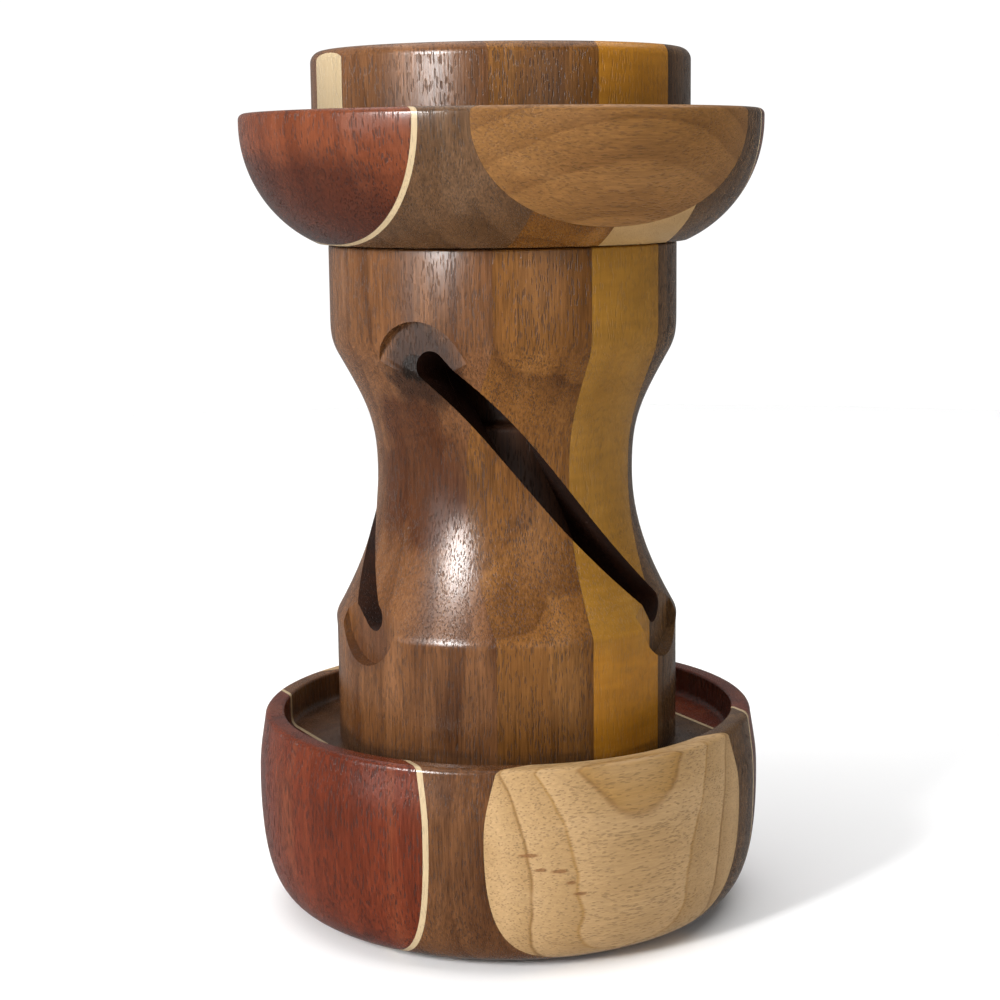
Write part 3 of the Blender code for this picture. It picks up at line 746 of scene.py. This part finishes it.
def wood(name, colours, grain="z", pith=(0.0, 80.0, 0.0), pith_weights=(1.0, 1.0, 0.05), spacing=4.0,
         ring_depth=0.5, wander=2.0, pores=0.5, pore_size=(0.38, 2.6), streaks=0.5, patches=0.4,
         curl=0.0, roughness=0.20, seed=0.0, bands=None, stains_and_shade=()):
    """A turned and lacquered wood.

    colours are its dark, middle and light tones. The growth rings are shells about the pith. pores sets
    how dark the open pores are, streaks the fine fibre, patches the slow change from light to dark,
    and curl the shimmer across the grain. bands gives ring colours one by one, by distance from the pith.
    stains_and_shade are patches of the wood's own tone and of painted shade: centre, size, tone and
    strength of each.
    """
    dark, middle, light = colours
    nodes = Nodes(name)
    place = nodes.block_position()
    shift = (seed * 7.3, seed * 3.1, seed * 5.7)
    slow = nodes.noise(nodes.scaled(place, along_grain(grain, 14.0, 70.0), shift), 2.0)
    from_pith = nodes.scaled(
        place, pith_weights, tuple(-centre * weight for centre, weight in zip(pith, pith_weights)))
    reach = nodes.length(from_pith)
    wobble = nodes.math("MULTIPLY_ADD", slow, wander, reach)
    if bands:
        start, end = bands[0][0], bands[-1][0]
        span = nodes.math("DIVIDE", nodes.math("SUBTRACT", wobble, start + wander / 2), end - start)
        colour = nodes.ramp(span, [((at - start) / (end - start), tone) for at, tone in bands])
    else:
        ring = nodes.math("FRACT", nodes.math("DIVIDE", wobble, spacing))
        late = nodes.ramp(ring, [(0.0, 0.0), (0.35, 0.12), (0.8, 0.7), (0.93, 1.0), (1.0, 0.0)])
        colour = nodes.blend(nodes.math("MULTIPLY", late, ring_depth), middle, dark)

    patch = nodes.noise(nodes.scaled(place, along_grain(grain, 9.0, 55.0), shift), 3.0, 0.55, 0.4)
    lighter = range_mask(nodes, patch, 0.5, 0.75)
    darker = range_mask(nodes, patch, 0.5, 0.25)
    colour = nodes.blend(nodes.math("MULTIPLY", lighter, patches), colour, light)
    colour = nodes.blend(nodes.math("MULTIPLY", darker, patches), colour, dark)

    for centre, size, tone, strength in stains_and_shade:
        colour = stain_and_shade_patch(nodes, place, colour, centre, size, tone, strength)

    fibre = nodes.noise(nodes.scaled(place, along_grain(grain, 0.4, 9.0), shift), 4.0, 0.65)
    fibre_tone = nodes.ramp(fibre, [(0.3, 1.0 - streaks), (0.7, 1.0 + streaks * 0.6)])
    colour = nodes.blend(1.0, colour, fibre_tone, "MULTIPLY")

    width, length = pore_size
    crowd = nodes.noise(nodes.scaled(place, along_grain(grain, 3.0, 18.0), shift), 2.0, 0.6)
    gap = nodes.cells(nodes.scaled(place, along_grain(grain, width, length), shift))
    gap = nodes.math("MULTIPLY_ADD", crowd, -0.5, gap)
    pore = range_mask(nodes, gap, 0.12, -0.04)
    deep = tuple(value * 0.45 for value in dark)
    colour = nodes.blend(nodes.math("MULTIPLY", pore, pores), colour, deep)

    if curl:
        cross = tuple(1 / 1.6 if axis == grain else 1 / 9.0 for axis in "xyz")
        wave = nodes.noise(nodes.scaled(place, cross, shift), 2.0, 0.5)
        wave_tone = nodes.ramp(wave, [(0.3, 1.0 - curl), (0.7, 1.0 + curl)])
        colour = nodes.blend(1.0, colour, wave_tone, "MULTIPLY")

    nodes.feed(nodes.shader.inputs["Base Color"], colour)
    dull = nodes.math("MULTIPLY_ADD", pore, 0.3, roughness)
    nodes.feed(nodes.shader.inputs["Roughness"], nodes.math("MULTIPLY_ADD", fibre, 0.08, dull))
    relief = nodes.math("MULTIPLY_ADD", pore, -1.0, nodes.math("MULTIPLY", fibre, 0.6))
    nodes.feed(nodes.shader.inputs["Normal"], nodes.bump(relief, 0.07, 0.9))
    nodes.shader.inputs["Specular IOR Level"].default_value = 0.26
    nodes.shader.inputs["IOR"].default_value = 1.45
    return nodes.material


def ground_steel(name):
    """Dull ground steel for the pins and the pad's screw."""
    nodes = Nodes(name)
    place = nodes.block_position()
    scratch = nodes.noise(nodes.scaled(place, (1 / 0.3, 1 / 0.3, 1 / 0.3)), 4.0, 0.7)
    tone = nodes.ramp(scratch, [(0.3, (0.20, 0.22, 0.22)), (0.7, (0.46, 0.48, 0.48))])
    nodes.feed(nodes.shader.inputs["Base Color"], tone)
    nodes.feed(nodes.shader.inputs["Roughness"], nodes.math("MULTIPLY_ADD", scratch, 0.3, 0.2))
    nodes.shader.inputs["Metallic"].default_value = 1.0
    nodes.feed(nodes.shader.inputs["Normal"], nodes.bump(scratch, 0.01, 0.4))
    return nodes.material


def make_woods():
    """Every wood of the nutcracker, by name."""
    walnut = ((0.048, 0.015, 0.004), (0.155, 0.064, 0.023), (0.24, 0.112, 0.052))
    # Stains of the wood's own tone and patches of painted shade: centre, size, tone and strength
    # Painted shade in the tray, which lies under the dish
    tray_painted_shade = ((0.0, 0.0, 36.0), (56.0, 56.0, 7.0), (0.030, 0.016, 0.009), 0.8)
    waist = (on_block(-42.0, 27.0, 95.0), (15.0, 15.0, 22.0), (0.050, 0.013, 0.003), 0.85)
    foot = ((0.0, 0.0, 12.0), (80.0, 80.0, 50.0), (0.060, 0.022, 0.007), 0.38)
    amber_foot = ((0.0, 0.0, 48.0), (80.0, 80.0, 18.0), (0.44, 0.175, 0.012), 0.65)
    amber_cap = ((0.0, 0.0, 178.0), (80.0, 80.0, 18.0), (0.44, 0.175, 0.012), 0.65)
    # Painted shade in the front slot's upper recess
    top_recess_painted_shade = (on_block(-28.5, RECESS_FACE, 116.5), (11.0, 11.0, 11.0), (0.024, 0.009, 0.004), 0.9)
    # Painted shade in the left slot's lower recess
    low_recess_painted_shade = (on_block(-56.0, 35.0, 60.0), (9.0, 9.0, 8.0), (0.080, 0.032, 0.016), 0.6)
    # Painted shadow at the top end of the front slot, nearly black
    slot_end_painted_shade = (on_block(-31.5, RECESS_FACE, 117.0), (4.0, 4.0, 3.5), (0.008, 0.004, 0.002), 0.95)
    return {
        "walnut_left": wood(
            "walnut_left", walnut, pith=(-60.0, 60.0, 0.0), spacing=9.0, ring_depth=0.5, wander=10.0,
            pores=0.45, pore_size=(0.32, 2.4), patches=0.7, seed=1.0,
            stains_and_shade=(waist, foot, top_recess_painted_shade, low_recess_painted_shade, slot_end_painted_shade, tray_painted_shade)),
        "walnut_grey": wood(
            "walnut_grey", ((0.040, 0.018, 0.007), (0.105, 0.052, 0.023), (0.17, 0.095, 0.050)),
            pith=(-60.0, 70.0, 60.0), spacing=10.0, ring_depth=0.5, wander=10.0, pores=0.4, patches=0.5,
            seed=2.0),
        "walnut_cap": wood(
            "walnut_cap", walnut, pith=(-70.0, 50.0, 120.0), pith_weights=(1.0, 1.0, 0.6), spacing=9.0,
            ring_depth=0.45, wander=10.0, pores=0.5, patches=0.55, seed=3.0),
        "walnut_centre": wood(
            "walnut_centre", ((0.050, 0.016, 0.004), (0.175, 0.070, 0.015), (0.28, 0.125, 0.034)),
            pith=(-9.0, 90.0, 0.0), spacing=7.0, ring_depth=0.5, wander=8.0, pores=0.6,
            pore_size=(0.32, 2.6), patches=0.6, seed=4.0, stains_and_shade=(foot, top_recess_painted_shade, slot_end_painted_shade, tray_painted_shade)),
        "walnut_right": wood(
            "walnut_right", ((0.025, 0.010, 0.004), (0.11, 0.055, 0.021), (0.19, 0.11, 0.05)),
            pith=(60.0, 80.0, 0.0), spacing=8.0, wander=8.0, seed=5.0, stains_and_shade=(tray_painted_shade,)),
        "maple": wood(
            "maple", ((0.18, 0.078, 0.009), (0.275, 0.130, 0.018), (0.35, 0.18, 0.038)),
            pith=(9.0, 120.0, 0.0), spacing=14.0, ring_depth=0.3, wander=6.0, pores=0.12, streaks=0.14,
            patches=0.4, curl=0.10, roughness=0.22, seed=6.0, stains_and_shade=(amber_foot, amber_cap, tray_painted_shade)),
        "maple_pale": wood(
            "maple_pale", ((0.22, 0.125, 0.045), (0.34, 0.205, 0.08), (0.42, 0.27, 0.12)),
            pith=(9.0, 120.0, 0.0), spacing=14.0, ring_depth=0.2, wander=6.0, pores=0.1, streaks=0.10,
            patches=0.3, curl=0.05, roughness=0.25, seed=7.0),
        "padauk_base": wood(
            "padauk_base", ((0.044, 0.007, 0.002), (0.118, 0.020, 0.006), (0.18, 0.046, 0.017)),
            pith=(-40.0, -150.0, 0.0), spacing=12.0, ring_depth=0.3, wander=8.0, pores=0.65,
            pore_size=(0.45, 3.0), streaks=0.5, patches=0.6, seed=8.0),
        "padauk_dish": wood(
            "padauk_dish", ((0.050, 0.010, 0.003), (0.142, 0.035, 0.012), (0.21, 0.062, 0.026)),
            pith=(-40.0, -150.0, 0.0), spacing=12.0, ring_depth=0.3, wander=8.0, pores=0.65,
            pore_size=(0.45, 3.0), streaks=0.35, patches=0.5, seed=9.0,
            # Darker low on the dish's left side: painted shade under the dish
            stains_and_shade=((on_block(-60.0, 40.0, 144.0), (48.0, 48.0, 20.0), (0.030, 0.006, 0.003), 0.7),)),
        "cherry": wood(
            "cherry", ((0.13, 0.052, 0.012), (0.235, 0.108, 0.030), (0.30, 0.15, 0.05)),
            grain="x", pith=(0.0, -16.0, 202.0), pith_weights=(0.05, 1.0, 1.0), spacing=4.6,
            ring_depth=0.55, wander=3.0, pores=0.3, pore_size=(0.35, 2.0), streaks=0.3, patches=0.45,
            roughness=0.25, seed=10.0),
        "ash": wood(
            "ash", ((0.24, 0.13, 0.045), (0.44, 0.29, 0.145), (0.55, 0.38, 0.21)),
            grain="x", pith=(0.0, 0.0, 22.5), pith_weights=(0.04, 1.0, 1.0), wander=1.6, pores=0.35,
            pore_size=(0.35, 2.2), streaks=0.18, patches=0.2, roughness=0.28, seed=11.0, bands=ash_bands(),
            stains_and_shade=ash_flecks()),
        "veneer": wood(
            "veneer", ((0.32, 0.23, 0.13), (0.45, 0.34, 0.20), (0.54, 0.42, 0.27)),
            pith=(200.0, 0.0, 0.0), spacing=30.0, ring_depth=0.2, pores=0.1, streaks=0.08, patches=0.2,
            seed=12.0),
        # Very dark walls inside the slots and the bore: painted shade
        "slot_wall_painted_shade": wood(
            "slot_wall_painted_shade", ((0.006, 0.002, 0.0008), (0.026, 0.007, 0.002), (0.060, 0.018, 0.005)),
            pores=0.2, roughness=0.5, seed=15.0),
        # Dark walnut, darkened further: partly painted shade of the bore the ram runs in
        "ram": wood(
            "ram", ((0.012, 0.004, 0.0015), (0.040, 0.014, 0.005), (0.080, 0.032, 0.012)),
            pith=(10.0, 30.0, 0.0), spacing=6.0, wander=5.0, pores=0.4, seed=13.0, roughness=0.4),
        "press": wood(
            "press", ((0.35, 0.22, 0.10), (0.52, 0.36, 0.19), (0.60, 0.44, 0.26)),
            grain="x", pith=(0.0, 60.0, -20.0), pith_weights=(0.05, 1.0, 1.0), spacing=3.0,
            ring_depth=0.4, pores=0.1, streaks=0.1, seed=14.0, roughness=0.45),
        "steel": ground_steel("steel"),
    }


def ash_bands():
    """The flat-sawn figure of the ash piece: ring colours by distance from its pith, in millimetres."""
    pale = (0.43, 0.275, 0.130)
    plain = (0.35, 0.215, 0.092)
    line = (0.22, 0.115, 0.036)
    golden = (0.30, 0.165, 0.050)
    return [
        (42.0, plain), (46.6, pale), (48.5, plain), (48.75, line), (48.95, pale), (51.6, plain),
        (51.75, golden), (51.9, pale), (53.9, plain), (54.1, line), (54.2, golden), (55.3, plain),
        (57.0, golden)]


def ash_flecks():
    """Small brown marks across the ash piece's front, given by side, height and width."""
    brown = (0.20, 0.085, 0.028)
    reach = 53.0
    thickness = 0.5
    strength = 0.8
    marks = ((4.0, 25.5, 2.6), (6.5, 22.5, 1.6), (10.5, 22.0, 2.2), (13.0, 19.5, 1.3), (15.0, 17.0, 1.8))
    return [
        (on_block(side, reach, height), (width, width, thickness), brown, strength)
        for side, height, width in marks]


# ---------------------------------------------------------------- stage

def floor_material():
    """Plain, very pale paint with a faint unevenness."""
    nodes = Nodes("floor")
    place = nodes.tree.nodes.new("ShaderNodeTexCoord").outputs["Object"]
    uneven = nodes.noise(nodes.scaled(place, (9.0, 9.0, 9.0)), 2.0)
    tone = nodes.ramp(uneven, [(0.3, 0.92), (0.7, 0.94)])
    nodes.feed(nodes.shader.inputs["Base Color"], tone)
    nodes.shader.inputs["Roughness"].default_value = 0.85
    return nodes.material


def make_floor():
    """A wide round floor under the object, which doesn't show in the lacquer's reflections."""
    shape = bmesh.new()
    bmesh.ops.create_circle(shape, cap_ends=True, segments=96, radius=FLOOR_RADIUS)
    bmesh.ops.translate(shape, vec=(0.0, 0.0, -FLOOR_DROP), verts=shape.verts)
    floor = add_object("floor", mesh_from_bmesh("floor", shape))
    floor.data.materials.append(floor_material())
    floor.visible_glossy = False


def seen_from(angle, height, distance):
    """A point at a horizontal angle about the object, in metres."""
    turn = math.radians(angle)
    return Vector((math.cos(turn) * distance, math.sin(turn) * distance, height))


def add_softbox(name, side, height, distance, size, watts, glint=False):
    """An area light aimed at the object. side is degrees to the right of the camera.

    Height, distance and size are in metres. A glint is seen in reflections only.
    """
    light = bpy.data.lights.new(name, "AREA")
    light.shape = "RECTANGLE"
    light.size, light.size_y = size
    light.energy = watts
    lamp = bpy.data.objects.new(name, light)
    bpy.context.scene.collection.objects.link(lamp)
    lamp.visible_diffuse = not glint
    lamp.location = seen_from(CAMERA_ANGLE + side, height, distance)
    aim = Vector((0.0, 0.0, LIGHT_AIM_HEIGHT)) - lamp.location
    lamp.rotation_euler = aim.to_track_quat("-Z", "Y").to_euler()


def make_light():
    """A bright high window and a weaker tall one at the left, its glint, a soft ceiling and a weak fill."""
    add_softbox("window_glint", -40.0, 0.50, 1.3, (0.11, 0.40), 34.0, glint=True)
    add_softbox("window_high", -43.0, 0.70, 1.3, (0.15, 0.42), 19.0)
    add_softbox("window_tall", -60.0, 0.45, 1.35, (0.25, 1.0), 6.0)
    add_softbox("ceiling", 160.0, 1.5, 0.2, (2.0, 2.0), 28.0)
    add_softbox("fill_front", 25.0, 0.5, 1.7, (1.0, 1.0), 4.0)
    make_room()


def make_room():
    """A dim room, lighter at the left than at the right, seen by the camera as plain white."""
    world = bpy.data.worlds.new("room")
    bpy.context.scene.world = world
    world.use_nodes = True
    tree = world.node_tree
    direction = tree.nodes.new("ShaderNodeTexCoord")
    apart = tree.nodes.new("ShaderNodeSeparateXYZ")
    tree.links.new(direction.outputs["Generated"], apart.inputs[0])
    spread = tree.nodes.new("ShaderNodeMapRange")
    spread.inputs["From Min"].default_value = -0.9
    spread.inputs["From Max"].default_value = 0.6
    spread.inputs["To Min"].default_value = ROOM_LEFT
    spread.inputs["To Max"].default_value = ROOM_RIGHT
    tree.links.new(apart.outputs[0], spread.inputs["Value"])
    path = tree.nodes.new("ShaderNodeLightPath")
    choose = tree.nodes.new("ShaderNodeMix")
    tree.links.new(path.outputs["Is Camera Ray"], choose.inputs[0])
    tree.links.new(spread.outputs["Result"], choose.inputs[2])
    choose.inputs[3].default_value = ROOM_FOR_CAMERA
    background = tree.nodes["Background"]
    background.inputs["Color"].default_value = (1.0, 1.0, 1.0, 1.0)
    tree.links.new(choose.outputs[0], background.inputs["Strength"])


def make_camera():
    """The camera before the object, tilted down and rolled a little."""
    camera = bpy.data.cameras.new("camera")
    camera.lens = CAMERA_LENS
    camera.sensor_width = 36.0
    camera.clip_start = 0.02
    holder = bpy.data.objects.new("camera", camera)
    bpy.context.scene.collection.objects.link(holder)
    heading = math.radians(CAMERA_ANGLE + 90.0 + CAMERA_PAN)
    turn = Matrix.Rotation(heading, 4, "Z")
    tip = Matrix.Rotation(math.radians(90.0 - CAMERA_PITCH), 4, "X")
    roll = Matrix.Rotation(math.radians(CAMERA_ROLL), 4, "Z")
    place = Matrix.Translation(seen_from(CAMERA_ANGLE, CAMERA_HEIGHT * MM, CAMERA_DISTANCE * MM))
    holder.matrix_world = place @ turn @ tip @ roll
    bpy.context.scene.camera = holder
    bpy.context.scene.view_settings.view_transform = "Standard"


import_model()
woods = make_woods()
make_stand(woods)
make_anvil(woods)
make_dish(woods)
make_cap(woods)
make_ram(woods)
make_pins(woods)
make_press_pad(woods)
make_pad_screw(woods)
make_floor()
make_light()
make_camera()
